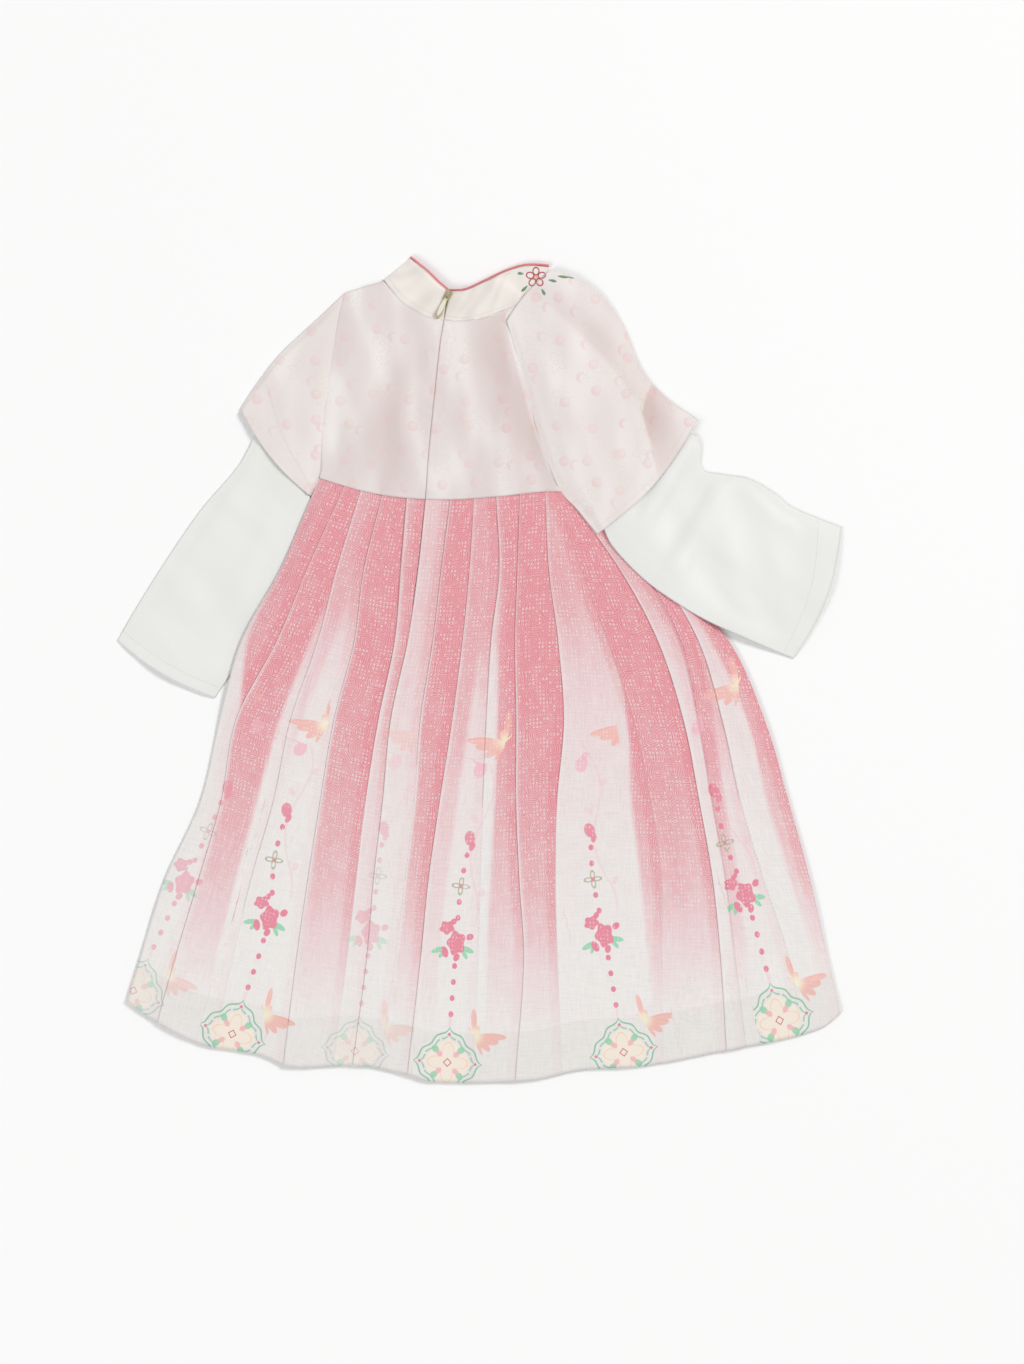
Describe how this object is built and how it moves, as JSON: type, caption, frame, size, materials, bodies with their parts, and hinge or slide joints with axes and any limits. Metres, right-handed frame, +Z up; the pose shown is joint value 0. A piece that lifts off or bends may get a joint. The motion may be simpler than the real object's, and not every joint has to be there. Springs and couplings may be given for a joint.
{
  "type": "hanfu dress",
  "caption": "Girl's hanfu dress laid flat with its back up: pleated skirt, bodice, wide over-sleeves over long sleeves, piped standing collar and back zip.",
  "frame": {"origin": "centre of the bounding box at the surface that the dress lies on", "axes": "+Z up from that surface, +Y from the hem to the collar, +X to the wearer's right"},
  "size_m": [0.6376, 0.7262, 0.0151],
  "materials": {
    "skirt": "printed sheer chiffon with a woven dot, matte",
    "lining": "thin plain lining, soft sheen",
    "bodice": "pale jacquard with faint pink spots, soft sheen",
    "sleeve": "white satin-faced cotton, soft sheen",
    "collar": "cream satin",
    "piping": "pink satin cord",
    "zip": "cream coil and enamelled slider"
  },
  "bodies": {
    "garment": {"skirt_front": "skirt", "lining_back": "lining", "skirt_back_left": "skirt", "skirt_back_right": "skirt", "bodice_front": "bodice", "bodice_back_left": "bodice", "bodice_back_right": "bodice", "sleeve_left": "sleeve", "sleeve_right": "sleeve", "over_sleeve_left": "bodice", "over_sleeve_right": "bodice", "collar": "collar", "piping": "piping", "zip_chain": "zip", "zip_slider": "zip"},
    "pull_tab": {"zip_pull": "zip"}
  },
  "joints": [
    {"name": "pull_tab_flip", "type": "hinge", "parent": "garment", "child": "pull_tab", "pos_m": [-0.02785, 0.32877, 0.00721], "axis": [-0.8942, 0.4478, 0], "range_deg": [0, 150]}
  ]
}
